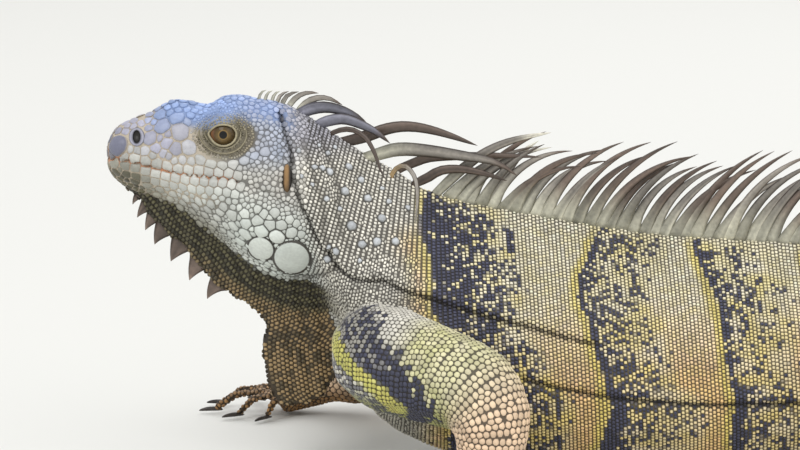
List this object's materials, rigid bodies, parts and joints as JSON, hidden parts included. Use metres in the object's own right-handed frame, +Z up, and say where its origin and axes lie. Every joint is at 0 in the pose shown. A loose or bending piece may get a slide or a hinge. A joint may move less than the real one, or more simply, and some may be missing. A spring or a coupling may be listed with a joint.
{
  "type": "green iguana",
  "caption": "Life-size still model of an adult male green iguana lying on its belly with raised head, tall back crest, throat fan, spread feet and a long tail swept round to its right.",
  "frame": {"origin": "on the floor, under the middle of the object's box", "axes": "+Z up, -X towards the snout, -Y towards the animal's left side"},
  "size_m": [0.8054, 0.6642, 0.1826],
  "materials": {
    "skin_face": "satin plated skin, grey-lilac with a blue-grey crown, orange lips and pale jowl plates",
    "skin_neck": "fine granular scales, olive-tan with pale blue-grey cones",
    "skin_trunk": "small scales in rows across the body, cream to tan with blue-black yellow-speckled bands",
    "skin_limb": "overlapping scales, blue-black and yellow-green above, pinkish tan below the elbow",
    "skin_dewlap": "thin throat fan, orange-brown scales with black between them",
    "skin_tail": "keeled scales in rings, tan and dark brown bands",
    "eye": "wet glossy eye, golden-brown iris with a dark pupil",
    "ear": "smooth thin ear disc, orange-brown",
    "claw": "dark horn, slightly glossy"
  },
  "bodies": {
    "root": {"head": "skin_face", "jaw": "skin_face", "neck": "skin_neck", "dewlap": "skin_dewlap", "trunk": "skin_trunk", "tail_1": "skin_tail", "tail_2": "skin_tail", "tail_3": "skin_tail", "tail_4": "skin_tail", "eye_left": "eye", "ear_left": "ear", "upper_arm_left": "skin_limb", "forearm_left": "skin_limb", "hand_left": "skin_limb", "thigh_left": "skin_limb", "shank_left": "skin_limb", "foot_left": "skin_limb", "claw_hand_left_1": "claw", "claw_hand_left_2": "claw", "claw_hand_left_3": "claw", "claw_hand_left_4": "claw", "claw_hand_left_5": "claw", "claw_foot_left_1": "claw", "claw_foot_left_2": "claw", "claw_foot_left_3": "claw", "claw_foot_left_4": "claw", "claw_foot_left_5": "claw", "eye_right": "eye", "ear_right": "ear", "upper_arm_right": "skin_limb", "forearm_right": "skin_limb", "hand_right": "skin_limb", "thigh_right": "skin_limb", "shank_right": "skin_limb", "foot_right": "skin_limb", "claw_hand_right_1": "claw", "claw_hand_right_2": "claw", "claw_hand_right_3": "claw", "claw_hand_right_4": "claw", "claw_hand_right_5": "claw", "claw_foot_right_1": "claw", "claw_foot_right_2": "claw", "claw_foot_right_3": "claw", "claw_foot_right_4": "claw", "claw_foot_right_5": "claw"}
  },
  "joints": []
}
